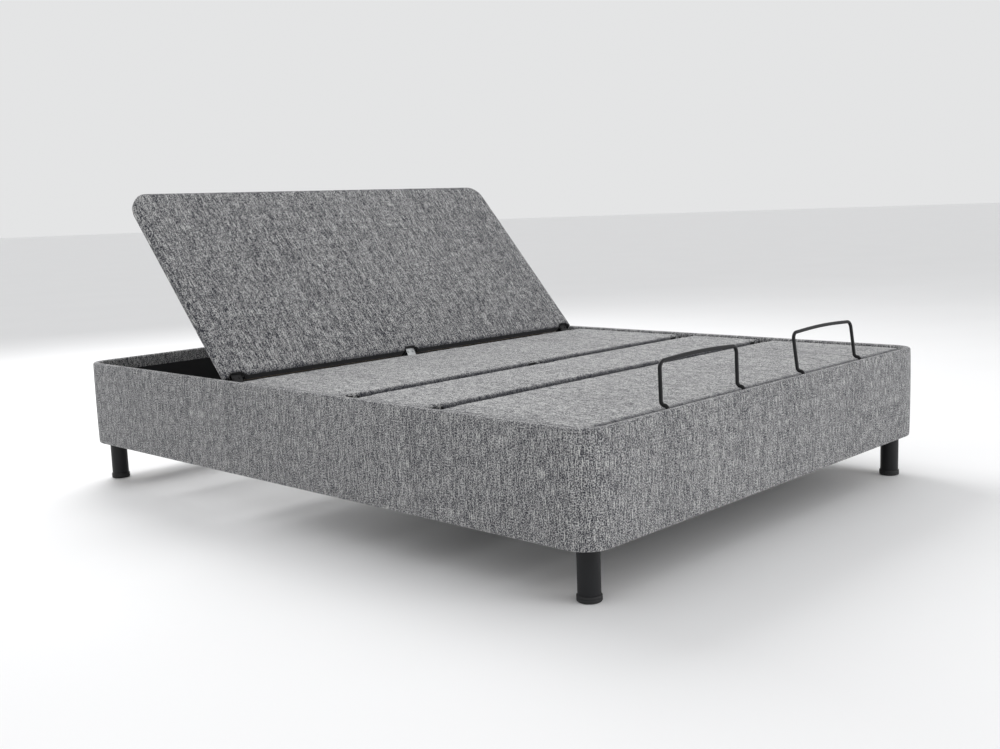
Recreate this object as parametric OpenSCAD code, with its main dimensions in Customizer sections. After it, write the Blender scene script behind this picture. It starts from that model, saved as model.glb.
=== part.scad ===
// Adjustable bed base: upholstered box on four legs, with a deck in four
// sections that two linear actuators raise.
// +X is the width, +Y points to the head end, +Z is up, the floor is z = 0.

/* [Overall] */
// Width of the upholstered box
base_w = 1500; // [1200:10:1900]
// Length of the upholstered box
base_l = 2030; // [1900:10:2150]
// Height of the upholstered box
box_h = 254; // [250:1:300]
// Radius of the box's four corners
corner_r = 68; // [55:1:90]
// Raised angle of the head section as shown
head_angle = 48.5; // [0:0.5:60]

/* [Rails] */
// Thickness of a rail board
rail_t = 14; // [12:1:16]
// Thickness of the fabric over the rails
cover_t = 2; // [1:0.5:3]
// Depth of the fabric folded over inside the rails
cover_flap = 36; // [20:1:45]
// Width of the fabric hem under the rails
hem_up = 30; // [15:1:40]

/* [Deck] */
// Depth of the deck below the top of the rails
deck_drop = 3; // [0:1:25]
// Thickness of the padding on a section
pad_t = 15; // [10:1:20]
// Thickness of a section's board
board_t = 15; // [12:1:18]
// Padding that wraps the edge of a board
edge_wrap = 4; // [3:1:8]
// Gap between the deck and the rails at each side
side_gap = 5; // [4:1:12]
// Gap between the head section and the head rail
head_end_gap = 29; // [20:1:40]
// Gap between the foot section and the foot rail
foot_end_gap = 16; // [14:1:25]
// Length of the head section
head_l = 685; // [620:1:710]
// Gap between the head and seat sections
head_joint_gap = 50; // [40:1:60]
// Length of the seat section
seat_l = 451; // [420:1:480]
// Gap between the seat and thigh sections
thigh_joint_gap = 36; // [30:1:45]
// Gap between the thigh and foot sections
knee_gap = 30; // [24:1:40]
// Length of the thigh section
thigh_l = 264; // [240:1:300]
// Corner radius at the head end of the deck
head_corner_r = 68; // [30:1:90]
// Corner radius at the foot end of the deck
foot_corner_r = 46; // [30:1:80]

/* [Hinges] */
// Width of a deck hinge
hinge_w = 46; // [40:1:52]
// Radius of a hinge knuckle
knuckle_r = 7; // [6:0.5:8]
// Diameter of a hinge pin
hinge_pin_d = 6; // [5:0.5:8]
// Thickness of a hinge leaf
leaf_t = 3; // [2:0.5:4]
// Length of a hinge leaf under its board
leaf_l = 62; // [45:1:75]
// Distance of the end hinges from the deck's side edges
hinge_inset = 37; // [32:1:60]
// Distance of the head hinges from the head section's edge
head_pivot_back = 20; // [16:1:26]
// Place of the middle head hinge across the bed
head_mid_x = -48; // [-60:1:60]
// Place of the middle thigh hinge across the bed
thigh_mid_x = -8; // [-60:1:60]

/* [Legs] */
// Clear height under the box
leg_h = 118; // [115:1:180]
// Diameter of a leg
leg_d = 50; // [40:1:60]
// How far the foot cap stands out around the leg
cap_over = 2.5; // [1:0.5:6]
// Height of a leg's foot cap
cap_h = 15; // [10:1:20]
// Distance of the legs from the end faces
leg_inset = 56; // [50:1:80]

/* [Frame] */
// Width of a side tube
tube_w = 40; // [30:1:50]
// Height of a side tube
tube_h = 50; // [40:1:50]
// Height of a cross tube
cross_h = 30; // [25:1:30]
// Wall of the frame tubes
tube_wall = 2; // [1.5:0.5:3]
// Gap between the side tubes and the rails
frame_gap = 22; // [15:1:40]
// Height of a seat bearer
bearer_h = 22; // [20:1:22]

/* [Lifting gear] */
// Height of a deck hinge above its lift tube
lift_drop = 80; // [78:1:84]
// Diameter of a lift tube
lift_tube_d = 38; // [30:1:40]
// Length of the head lift's arms
head_arm_l = 600; // [560:5:620]
// Length of the thigh lift's arms
thigh_arm_l = 225; // [205:5:230]
// Height of a lift arm
arm_h = 32; // [26:1:36]
// Thickness of a lift arm
arm_t = 10; // [6:1:12]
// Place of the lift arms across the bed
arm_x = 300; // [220:5:400]
// Diameter of a roller
roller_d = 40; // [34:1:42]
// Width of a roller
roller_w = 24; // [18:1:30]
// Length of the crank lever on a lift tube
crank_l = 90; // [85:1:92]
// Largest angle of the head section
head_range = 60; // [55:1:65]
// Largest angle of the thigh section
thigh_range = 40; // [30:1:45]
// Place of each actuator from the middle of the bed
actuator_x = 90; // [80:1:120]
// Distance of an actuator's rear pivot from its lift tube
actuator_reach = 567; // [555:1:580]

/* [Retainer bars] */
// Diameter of a mattress retainer bar
bar_d = 9; // [7:0.5:10]
// Distance between the legs of a bar
bar_w = 305; // [240:1:360]
// Height of a bar above the deck
bar_h = 106; // [80:1:140]
// Bend radius at the top corners of a bar
bar_bend_r = 17; // [14:1:30]
// Place of each bar from the middle of the bed
bar_x = 292; // [220:1:320]
// Distance of the bars from the foot end of the deck
bar_inset = 11; // [8:1:20]
// Lean of the left and the right bar
bar_lean = [1.5, 8];

/* [Hidden] */
$fn = 48;
eps = 0.1;              // overlap of cutting shapes
run_fit = 0.05;         // radial clearance of a turning or sliding fit
slack = 0.5;            // clearance between faces that pass each other
corner_steps = 9;       // flats round a corner of an outline

// box and deck
box_top = leg_h + box_h;
skin_t = rail_t + 2 * cover_t;
inner_w = base_w - 2 * skin_t;
inner_l = base_l - 2 * skin_t;
deck_top = box_top - deck_drop;
board_top = deck_top - pad_t;
board_low = board_top - board_t;
deck_w = inner_w - 2 * side_gap;
head_end_y = inner_l / 2 - head_end_gap;
head_edge_y = head_end_y - head_l;
seat_head_y = head_edge_y - head_joint_gap;
seat_foot_y = seat_head_y - seat_l;
thigh_head_y = seat_foot_y - thigh_joint_gap;
thigh_foot_y = thigh_head_y - thigh_l;
foot_head_y = thigh_foot_y - knee_gap;
foot_end_y = -inner_l / 2 + foot_end_gap;

// hinge axes, each as [y, z]
pivot_z = board_top - knuckle_r;
head_pivot = [head_edge_y - head_pivot_back, pivot_z];
thigh_pivot = [(seat_foot_y + thigh_head_y) / 2, pivot_z];
knee_pivot = [(thigh_foot_y + foot_head_y) / 2, pivot_z];
end_hinge_x = deck_w / 2 - hinge_inset;
head_hinge_x = [-end_hinge_x, head_mid_x, end_hinge_x];
thigh_hinge_x = [-end_hinge_x, thigh_mid_x, end_hinge_x];
knee_hinge_x = [-end_hinge_x, end_hinge_x];
leaf_start = knuckle_r + 2;
notch_w = hinge_w + 8;
notch_l = knuckle_r + 9;
moving_knuckle_w = hinge_w / 3;
fixed_knuckle_w = (hinge_w - moving_knuckle_w) / 2 - slack;

// frame
tube_x = base_w / 2 - skin_t - frame_gap - tube_w / 2;
frame_top = pivot_z - lift_drop;
frame_low = frame_top - tube_h;
frame_l = inner_l - 2 * 12;
cross_top = frame_low + cross_h;
cross_w = 40;
bearer_w = 30;
bearer_y = [seat_head_y - leaf_l - 35, seat_foot_y + leaf_l + 35];
block_w = 92;
block_low = leg_h + 12;
leg_y = base_l / 2 - leg_inset;
cap_d = leg_d + 2 * cap_over;

// lift tubes: axes as [y, z], and the angle of an arm for a section's angle
head_lift_axis = [head_pivot[0], pivot_z - lift_drop];
thigh_lift_axis = [thigh_pivot[0], pivot_z - lift_drop];
track_t = 4;
track_off = pivot_z - board_low + track_t + roller_d / 2 + slack;
function arm_angle(section, arm) = section + asin((lift_drop * cos(section) - track_off) / arm);
head_flat = arm_angle(0, head_arm_l);
head_full = arm_angle(head_range, head_arm_l);
thigh_flat = arm_angle(0, thigh_arm_l);
thigh_full = arm_angle(thigh_range, thigh_arm_l);
head_lift_rest = head_flat + (head_full - head_flat) * head_angle / head_range;
stub_d = 20;
plate_t = 8;
plate_gap = 2;
lift_tube_l = 2 * (tube_x - tube_w / 2 - plate_t - plate_gap);
crank_t = 6;
eye_w = 20;
crank_pin_d = 12;
axle_d = 10;

// crank levers and actuators: the rod's end follows a straight line between
// the two end positions of the crank pin
crank_mid = -95;
function crank_angle(flat, full, at) = crank_mid - (full - flat) / 2 + (at - flat);
function pin_at(flat, full, at) = [for (s = [0, 1])
    crank_l * (s == 0 ? cos(crank_angle(flat, full, at)) : sin(crank_angle(flat, full, at)))];
clevis_drop = 27;         // rear pivots below the frame tubes
rear_drop = tube_h + clevis_drop;
function rod_vector(flat, full, at) = pin_at(flat, full, at) + [actuator_reach, rear_drop];
function rod_len(flat, full, at) = norm(rod_vector(flat, full, at));
function rod_dir(flat, full, at) = atan2(rod_vector(flat, full, at)[1], rod_vector(flat, full, at)[0]);
function between(a, b, t) = a + (b - a) * t;
head_share = head_angle / head_range;
head_rod_l = between(rod_len(head_flat, head_full, head_flat),
    rod_len(head_flat, head_full, head_full), head_share);
head_rod_a = between(rod_dir(head_flat, head_full, head_flat),
    rod_dir(head_flat, head_full, head_full), head_share);
thigh_rod_l = rod_len(thigh_flat, thigh_full, thigh_flat);
thigh_rod_a = rod_dir(thigh_flat, thigh_full, thigh_flat);
head_bow = crank_l * (1 - cos((head_full - head_flat) / 2));
head_rear = head_lift_axis - [actuator_reach, rear_drop];
thigh_rear = [thigh_lift_axis[0] + actuator_reach, thigh_lift_axis[1] - rear_drop];
actuator_tube_d = 40;
actuator_tube_bore = 30;
rod_d = 20;
shut_l = rod_len(head_flat, head_full, head_flat);
tube_end = shut_l - 38;
housing_start = 26;
housing_l = 78;
motor_d = 54;
motor_l = 128;
motor_x = 56;
motor_cap_d = 20;
motor_cap_l = 12;

// foot section's rollers on the side tubes
foot_roller_y = foot_end_y + 26;
foot_roller_z = frame_top + roller_d / 2 + 0.2;

// ---- outlines and small shapes ------------------------------------------

function arc_points(cx, cy, r, a0) =
    [for (i = [0:corner_steps])
        [cx + r * cos(a0 + 90 * i / corner_steps), cy + r * sin(a0 + 90 * i / corner_steps)]];

// a rectangle from (x0, y0) to (x1, y1) with round corners: r_low at the low y end, r_high at the other
function outline(x0, y0, x1, y1, r_low, r_high) = concat(
    arc_points(x1 - r_high, y1 - r_high, r_high, 0), arc_points(x0 + r_high, y1 - r_high, r_high, 90),
    arc_points(x0 + r_low, y0 + r_low, r_low, 180), arc_points(x1 - r_low, y0 + r_low, r_low, 270));

module ring(inset, t, z0, z1) {
    translate([0, 0, z0]) linear_extrude(z1 - z0) difference() {
        polygon(outline(-base_w / 2 + inset, -base_l / 2 + inset, base_w / 2 - inset, base_l / 2 - inset,
            corner_r - inset, corner_r - inset));
        polygon(outline(-base_w / 2 + inset + t, -base_l / 2 + inset + t, base_w / 2 - inset - t,
            base_l / 2 - inset - t, corner_r - inset - t, corner_r - inset - t));
    }
}

module block(x, y, z) {
    translate([x[0], y[0], z[0]]) cube([x[1] - x[0], y[1] - y[0], z[1] - z[0]]);
}
module both_sides() { for (side = [-1, 1]) mirror([side < 0 ? 1 : 0, 0, 0]) children(); }

// cylinder along X, from x0 to x1, at a [y, z] axis
module rod_x(x0, x1, axis, d) {
    translate([x0, axis[0], axis[1]]) rotate([0, 90, 0]) cylinder(d = d, h = x1 - x0);
}

// a [y, z] outline pushed out along X from x0 to x1
module profile_x(x0, x1) {
    translate([x0, 0, 0]) rotate([90, 0, 90]) linear_extrude(x1 - x0) children();
}

module turn_at(axis, angle) { translate([0, axis[0], axis[1]]) rotate([angle, 0, 0]) children(); }

// raises what is drawn flat with the head section
module raised() {
    turn_at(head_pivot, head_angle) translate([0, -head_pivot[0], -head_pivot[1]]) children();
}

module box_tube(x, y, z, along) {
    difference() {
        block(x, y, z);
        if (along == "x") block([x[0] - eps, x[1] + eps], [y[0] + tube_wall, y[1] - tube_wall],
            [z[0] + tube_wall, z[1] - tube_wall]);
        else block([x[0] + tube_wall, x[1] - tube_wall], [y[0] - eps, y[1] + eps],
            [z[0] + tube_wall, z[1] - tube_wall]);
    }
}

// ---- upholstered box ----------------------------------------------------

corner_zone_x = base_w / 2 - corner_r;
corner_zone_y = base_l / 2 - corner_r;

module board_ring() { ring(cover_t, rail_t, leg_h + cover_t, box_top - cover_t); }

module side_rails() {
    color("burlywood") intersection() {
        board_ring();
        both_sides() block([corner_zone_x, base_w], [-corner_zone_y, corner_zone_y], [0, box_top]);
    }
}

module end_rails() {
    color("burlywood") intersection() {
        board_ring();
        for (side = [-1, 1]) block([-corner_zone_x, corner_zone_x],
            [side * base_l / 2 - corner_r, side * base_l / 2 + corner_r], [0, box_top]);
    }
}

module rail_corners() {
    color("tan") intersection() {
        board_ring();
        for (sx = [-1, 1], sy = [-1, 1]) translate([sx * base_w / 2, sy * base_l / 2, box_top / 2])
            cube([2 * corner_r, 2 * corner_r, 2 * box_top], center = true);
    }
}

module rail_cover() {
    color("dimgray") {
        difference() {
            ring(0, skin_t, leg_h, box_top);
            difference() {
                ring(cover_t, rail_t, leg_h + cover_t, box_top - cover_t);
            }
            ring(cover_t + rail_t - eps, cover_t + 2 * eps, leg_h + hem_up, box_top - cover_flap);
        }
    }
}

module corner_blocks() {
    color("burlywood") difference() {
        intersection() {
            translate([0, 0, block_low]) linear_extrude(frame_low - block_low)
                polygon(outline(-inner_w / 2, -inner_l / 2, inner_w / 2, inner_l / 2,
                    corner_r - skin_t, corner_r - skin_t));
            for (sx = [-1, 1], sy = [-1, 1])
                translate([sx * inner_w / 2, sy * inner_l / 2, box_top / 2])
                    cube([2 * block_w, 2 * block_w, 2 * box_top], center = true);
        }
        for (sx = [-1, 1], sy = [-1, 1]) translate([sx * tube_x, sy * leg_y, block_low - eps])
            cylinder(d = 10, h = 50);
    }
}

module legs() {
    color("black") for (sx = [-1, 1], sy = [-1, 1]) translate([sx * tube_x, sy * leg_y, 0]) {
        translate([0, 0, cap_h]) difference() {
            cylinder(d = leg_d, h = block_low - cap_h);
            translate([0, 0, -eps]) cylinder(d = leg_d - 4, h = block_low - cap_h - 4);
        }
        translate([0, 0, block_low - 1]) cylinder(d = 10, h = 41);
    }
}

module leg_caps() {
    color("black") for (sx = [-1, 1], sy = [-1, 1]) translate([sx * tube_x, sy * leg_y, 0]) {
        rotate_extrude() polygon([[0, 0], [cap_d / 2 - 3, 0], [cap_d / 2, 3], [cap_d / 2, cap_h - 2],
            [cap_d / 2 - 1, cap_h], [0, cap_h]]);
        translate([0, 0, cap_h]) cylinder(d = leg_d - 4, h = 10);
    }
}

// ---- steel frame --------------------------------------------------------

module frame_side_tubes() {
    color("black") both_sides()
        box_tube([tube_x - tube_w / 2, tube_x + tube_w / 2], [-frame_l / 2, frame_l / 2],
            [frame_low, frame_top], "y");
}

end_cross_y = frame_l / 2 - 60;
foot_cross_y = (head_rear[0] - frame_l / 2) / 2;
head_cross_y = (thigh_rear[0] + frame_l / 2) / 2;
cross_y = [end_cross_y, head_cross_y, thigh_rear[0], head_rear[0], foot_cross_y, -end_cross_y];

module cross_tubes() {
    color("black") for (y = cross_y)
        box_tube([-tube_x + tube_w / 2, tube_x - tube_w / 2], [y - cross_w / 2, y + cross_w / 2],
            [frame_low, cross_top], "x");
}

bracket_l = 60;
bracket_y = [for (i = [-1, -1 / 3, 1 / 3, 1]) i * (corner_zone_y - 90)];

module rail_brackets() {
    color("black") both_sides() for (y = bracket_y)
        block([tube_x + tube_w / 2, inner_w / 2], [y - bracket_l / 2, y + bracket_l / 2],
            [frame_low, frame_top]);
}

module seat_risers() {
    color("black") both_sides() for (y = bearer_y)
        box_tube([tube_x - tube_w / 2 + 5, tube_x + tube_w / 2 - 5], [y - bearer_w / 2, y + bearer_w / 2],
            [frame_top, board_low - bearer_h], "y");
}

module seat_bearers() {
    color("black") for (y = bearer_y)
        box_tube([-tube_x - tube_w / 2, tube_x + tube_w / 2], [y - bearer_w / 2, y + bearer_w / 2],
            [board_low - bearer_h, board_low], "x");
}

bearing_plate_l = 68;
bearing_plate_rise = 24;  // above the axis
module lift_bearing_plates() {
    color("black") both_sides() for (axis = [head_lift_axis, thigh_lift_axis]) difference() {
        block([tube_x - tube_w / 2 - plate_t, tube_x - tube_w / 2],
            [axis[0] - bearing_plate_l / 2, axis[0] + bearing_plate_l / 2],
            [frame_low, axis[1] + bearing_plate_rise]);
        rod_x(tube_x - tube_w / 2 - plate_t - eps, tube_x - tube_w / 2 + eps, axis, stub_d + 2 * run_fit);
    }
}

// clevis plates that hang from a cross tube and hold the rear end of an actuator
clevis_in = eye_w / 2 + slack;
clevis_w = 36;
module clevis(x, axis) {
    for (side = [-1, 1]) difference() {
        translate([x, 0, 0]) mirror([side < 0 ? 1 : 0, 0, 0]) union() {
            block([clevis_in, clevis_in + crank_t], [axis[0] - clevis_w / 2, axis[0] + clevis_w / 2],
                [axis[1], frame_low]);
            rod_x(clevis_in, clevis_in + crank_t, axis, clevis_w);
        }
        rod_x(x - clevis_w, x + clevis_w, axis, crank_pin_d);
    }
}

module actuator_brackets() {
    color("black") {
        clevis(-actuator_x, head_rear);
        clevis(actuator_x, thigh_rear);
    }
}

module clevis_pin(x, axis) {
    rod_x(x - clevis_in - crank_t - 3, x + clevis_in + crank_t + 3, axis, crank_pin_d);
}

module actuator_bracket_pins() {
    color("silver") {
        clevis_pin(-actuator_x, head_rear);
        clevis_pin(actuator_x, thigh_rear);
    }
}

// ---- deck sections ------------------------------------------------------

module notches(xs, y, side) {
    for (x = xs) block([x - notch_w / 2, x + notch_w / 2],
        side > 0 ? [y - eps, y + notch_l] : [y - notch_l, y + eps], [board_low - eps, deck_top + eps]);
}

module section_board(y0, y1, r_low, r_high) {
    translate([0, 0, board_low]) linear_extrude(board_t)
        polygon(outline(-deck_w / 2 + edge_wrap, y0 + edge_wrap, deck_w / 2 - edge_wrap, y1 - edge_wrap,
            max(r_low - edge_wrap, 2), max(r_high - edge_wrap, 2)));
}

module section_pad(y0, y1, r_low, r_high) {
    difference() {
        translate([0, 0, board_low]) linear_extrude(board_t + pad_t)
            polygon(outline(-deck_w / 2, y0, deck_w / 2, y1, r_low, r_high));
        section_board(y0, y1, r_low, r_high);
        translate([0, 0, -eps]) section_board(y0, y1, r_low, r_high);
    }
}

edge_r = 6;

module seat_cuts() {
    notches(head_hinge_x, seat_head_y, -1);
    notches(thigh_hinge_x, seat_foot_y, 1);
}
module seat_board() {
    color("burlywood") difference() {
        section_board(seat_foot_y, seat_head_y, edge_r, edge_r);
        seat_cuts();
    }
}
module seat_pad() {
    color("dimgray") difference() {
        section_pad(seat_foot_y, seat_head_y, edge_r, edge_r);
        seat_cuts();
    }
}

module head_cuts() { notches(head_hinge_x, head_edge_y, 1); }
module head_board() {
    color("burlywood") raised() difference() {
        section_board(head_edge_y, head_end_y, edge_r, head_corner_r);
        head_cuts();
    }
}
module head_pad() {
    color("dimgray") raised() difference() {
        section_pad(head_edge_y, head_end_y, edge_r, head_corner_r);
        head_cuts();
    }
}

module thigh_cuts() {
    notches(thigh_hinge_x, thigh_head_y, -1);
    notches(knee_hinge_x, thigh_foot_y, 1);
}
module thigh_board() {
    color("burlywood") difference() {
        section_board(thigh_foot_y, thigh_head_y, edge_r, edge_r);
        thigh_cuts();
    }
}
module thigh_pad() {
    color("dimgray") difference() {
        section_pad(thigh_foot_y, thigh_head_y, edge_r, edge_r);
        thigh_cuts();
    }
}

module foot_cuts() { notches(knee_hinge_x, foot_head_y, -1); }
module foot_board() {
    color("burlywood") difference() {
        section_board(foot_end_y, foot_head_y, foot_corner_r, edge_r);
        foot_cuts();
    }
}
module foot_pad() {
    color("dimgray") difference() {
        section_pad(foot_end_y, foot_head_y, foot_corner_r, edge_r);
        foot_cuts();
    }
}

// ---- deck hinges --------------------------------------------------------

// one leaf under a board on the side given by dir, with a web up to its knuckles
module leaf(x, pivot, dir, spans, bore, l) {
    low = board_low - leaf_t;
    difference() {
        union() {
            translate([x, pivot[0], 0]) mirror([0, dir < 0 ? 1 : 0, 0])
                block([-hinge_w / 2, hinge_w / 2], [leaf_start, leaf_start + l], [low, board_low]);
            for (s = spans) translate([x, pivot[0], 0]) mirror([0, dir < 0 ? 1 : 0, 0]) {
                profile_x(s[0], s[1]) polygon([[0, pivot[1] - knuckle_r], [0, low + 2], [leaf_start + 2, low],
                    [leaf_start + 2, board_low], [knuckle_r, pivot[1]], [0, pivot[1]]]);
                translate([0, 0, pivot[1]]) rod_x(s[0], s[1], [0, 0], 2 * knuckle_r);
            }
        }
        rod_x(x - hinge_w, x + hinge_w, pivot, bore);
    }
}

outer_spans = [[-hinge_w / 2, -hinge_w / 2 + fixed_knuckle_w], [hinge_w / 2 - fixed_knuckle_w, hinge_w / 2]];
inner_span = [[-moving_knuckle_w / 2, moving_knuckle_w / 2]];

module fixed_leaf(x, pivot, dir) { leaf(x, pivot, dir, outer_spans, hinge_pin_d, leaf_l); }
module moving_leaf(x, pivot, dir, l) { leaf(x, pivot, dir, inner_span, hinge_pin_d + 2 * run_fit, l); }
module hinge_pin(x, pivot) { rod_x(x - hinge_w / 2 - 2, x + hinge_w / 2 + 2, pivot, hinge_pin_d); }

module seat_hinge_leaves() {
    color("dimgray") {
        for (x = head_hinge_x) fixed_leaf(x, head_pivot, -1);
        for (x = thigh_hinge_x) fixed_leaf(x, thigh_pivot, 1);
    }
}
module seat_hinge_pins() {
    color("silver") {
        for (x = head_hinge_x) hinge_pin(x, head_pivot);
        for (x = thigh_hinge_x) hinge_pin(x, thigh_pivot);
    }
}
module head_hinge_leaves() {
    color("silver") raised() for (x = head_hinge_x) moving_leaf(x, head_pivot, 1, leaf_l);
}
module thigh_hinge_leaves() {
    color("dimgray") for (x = thigh_hinge_x) moving_leaf(x, thigh_pivot, -1, leaf_l);
}
module knee_hinge_leaves() { color("dimgray") for (x = knee_hinge_x) fixed_leaf(x, knee_pivot, 1); }
module knee_hinge_pins() { color("silver") for (x = knee_hinge_x) hinge_pin(x, knee_pivot); }
module foot_hinge_leaves() {
    color("dimgray") for (x = knee_hinge_x) moving_leaf(x, knee_pivot, -1, foot_leaf_l);
}

// ---- lifting gear -------------------------------------------------------

track_w = 60;
track_l = 180;
head_track_shift = -6;    // middle of the track from the roller's place on the flat deck
thigh_track_lap = 30;     // track beyond the roller's place on the flat deck
roller_x = arm_x + arm_t / 2 + 3 + roller_w / 2;

module track(y) {
    both_sides() block([roller_x - track_w / 2, roller_x + track_w / 2], [y - track_l / 2, y + track_l / 2],
        [board_low - track_t, board_low]);
}
module head_tracks() { color("silver") raised() track(head_pivot[0] + head_arm_l + head_track_shift); }
module thigh_tracks() {
    color("silver") track(thigh_pivot[0] - thigh_arm_l + track_l / 2 - thigh_track_lap);
}

lift_tube_wall = 3;
tube_plug_l = 40;
boss_d = lift_tube_d + 12;
washer_d = 18;
washer_t = 3;
washer_gap = 1;
washer_x = roller_x + roller_w / 2 + washer_gap;

// the parts of a lift are drawn with the arm along +Y and the tube's axis at the origin
module lift_tube_shape() {
    difference() {
        rod_x(-lift_tube_l / 2, lift_tube_l / 2, [0, 0], lift_tube_d);
        rod_x(-lift_tube_l / 2 + tube_plug_l, lift_tube_l / 2 - tube_plug_l, [0, 0],
            lift_tube_d - 2 * lift_tube_wall);
    }
    both_sides() rod_x(lift_tube_l / 2 - 1, tube_x - tube_w / 2 - slack, [0, 0], stub_d);
}

module arm_shape(l) {
    both_sides() {
        difference() {
            union() {
                block([arm_x - arm_t / 2, arm_x + arm_t / 2], [0, l], [-arm_h / 2, arm_h / 2]);
                rod_x(arm_x - arm_t / 2, arm_x + arm_t / 2, [0, 0], boss_d);
                rod_x(arm_x - arm_t / 2, arm_x + arm_t / 2, [l, 0], arm_h);
            }
            rod_x(arm_x - arm_t, arm_x + arm_t, [0, 0], lift_tube_d);
        }
        rod_x(arm_x, washer_x + washer_t, [l, 0], axle_d);
        rod_x(washer_x, washer_x + washer_t, [l, 0], washer_d);
    }
}

module roller_shape() {
    difference() {
        rotate([0, 90, 0]) rotate_extrude() polygon([[axle_d / 2 + run_fit, -roller_w / 2],
            [roller_d / 2 - 2, -roller_w / 2], [roller_d / 2, -roller_w / 2 + 2],
            [roller_d / 2, roller_w / 2 - 2], [roller_d / 2 - 2, roller_w / 2],
            [axle_d / 2 + run_fit, roller_w / 2]]);
    }
}

crank_w = 30;
module crank_shape(x) {
    for (side = [-1, 1]) translate([x, 0, 0]) mirror([side < 0 ? 1 : 0, 0, 0]) difference() {
        union() {
            block([clevis_in, clevis_in + crank_t], [0, crank_l], [-crank_w / 2, crank_w / 2]);
            rod_x(clevis_in, clevis_in + crank_t, [0, 0], boss_d);
            rod_x(clevis_in, clevis_in + crank_t, [crank_l, 0], crank_w);
        }
        rod_x(0, clevis_in + 2 * crank_t, [0, 0], lift_tube_d);
        rod_x(0, clevis_in + 2 * crank_t, [crank_l, 0], crank_pin_d);
    }
}

module head_lift_at() { turn_at(head_lift_axis, head_lift_rest) children(); }
module head_crank_at() {
    turn_at(head_lift_axis, crank_angle(head_flat, head_full, head_lift_rest)) children();
}
module toward_foot() { rotate([0, 0, 180]) children(); }
module thigh_lift_at() {
    translate([0, thigh_lift_axis[0], thigh_lift_axis[1]]) toward_foot()
        rotate([thigh_flat, 0, 0]) children();
}
module thigh_crank_at() {
    translate([0, thigh_lift_axis[0], thigh_lift_axis[1]]) toward_foot()
        rotate([crank_angle(thigh_flat, thigh_full, thigh_flat), 0, 0]) children();
}

module head_lift_tube() { color("black") head_lift_at() lift_tube_shape(); }
module head_lift_arms() { color("black") head_lift_at() arm_shape(head_arm_l); }
module head_crank() { color("black") head_crank_at() crank_shape(-actuator_x); }
module head_crank_pin() { color("silver") head_crank_at() clevis_pin(-actuator_x, [crank_l, 0]); }
module head_roller_left() {
    color("white") head_lift_at() translate([-roller_x, head_arm_l, 0]) roller_shape();
}
module head_roller_right() {
    color("white") head_lift_at() translate([roller_x, head_arm_l, 0]) roller_shape();
}

module thigh_lift_tube() { color("black") thigh_lift_at() lift_tube_shape(); }
module thigh_lift_arms() { color("black") thigh_lift_at() arm_shape(thigh_arm_l); }
module thigh_crank() { color("black") thigh_crank_at() crank_shape(-actuator_x); }
module thigh_crank_pin() { color("silver") thigh_crank_at() clevis_pin(-actuator_x, [crank_l, 0]); }
module thigh_roller_left() {
    color("white") thigh_lift_at() translate([roller_x, thigh_arm_l, 0]) roller_shape();
}
module thigh_roller_right() {
    color("white") thigh_lift_at() translate([-roller_x, thigh_arm_l, 0]) roller_shape();
}

// brackets under the foot section, with the axles of the rollers that run on the side tubes
foot_plate_x = tube_x - roller_w / 2 - 5;
foot_plate_t = 6;
foot_plate_w = 30;
foot_flange = [22, 40];   // toward the foot and toward the head from the rollers
foot_leaf_l = min(leaf_l, knee_pivot[0] - leaf_start - foot_roller_y - foot_flange[1] - 2);
foot_flange_w = 50;
foot_flange_t = 4;
foot_washer_x = tube_x + roller_w / 2 + washer_gap;
module foot_roller_brackets() {
    color("black") both_sides() {
        block([foot_plate_x - foot_flange_w, tube_x + roller_w / 2],
            [foot_roller_y - foot_flange[0], foot_roller_y + foot_flange[1]],
            [board_low - foot_flange_t, board_low]);
        block([foot_plate_x - foot_plate_t, foot_plate_x],
            [foot_roller_y - foot_plate_w / 2, foot_roller_y + foot_plate_w / 2], [foot_roller_z, board_low]);
        rod_x(foot_plate_x - foot_plate_t, foot_plate_x, [foot_roller_y, foot_roller_z], foot_plate_w);
        rod_x(foot_plate_x - 1, foot_washer_x + washer_t, [foot_roller_y, foot_roller_z], axle_d);
        rod_x(foot_washer_x, foot_washer_x + washer_t, [foot_roller_y, foot_roller_z], washer_d);
    }
}
module foot_roller_left() {
    color("white") translate([-tube_x, foot_roller_y, foot_roller_z]) roller_shape();
}
module foot_roller_right() {
    color("white") translate([tube_x, foot_roller_y, foot_roller_z]) roller_shape();
}

// ---- actuators ----------------------------------------------------------

rear_eye_d = 32;
gear_x = 30;
gear_z = [-29, 27];
link_x = 20;              // casting between the gear case and the motor
link_z = [-27, 25];
link_inset = 6;
motor_start = housing_start + 4;
motor_z = -1;

// drawn with the rear pivot at the origin and the rod along +Y
module housing_shape() {
    difference() {
        union() {
            rod_x(-eye_w / 2, eye_w / 2, [0, 0], rear_eye_d);
            block([-eye_w / 2, eye_w / 2], [0, housing_start + 1], [-rear_eye_d / 2, rear_eye_d / 2]);
            block([-gear_x, gear_x], [housing_start, housing_start + housing_l], gear_z);
            block([link_x, motor_x], [housing_start + link_inset, housing_start + housing_l - link_inset],
                link_z);
            translate([motor_x, motor_start, motor_z]) rotate([-90, 0, 0])
                cylinder(d = motor_d, h = motor_l);
            translate([motor_x, motor_start + motor_l - 1, motor_z]) rotate([-90, 0, 0])
                cylinder(d = motor_cap_d, h = motor_cap_l);
        }
        rod_x(-eye_w, eye_w, [0, 0], crank_pin_d + 2 * run_fit);
    }
}

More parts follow.
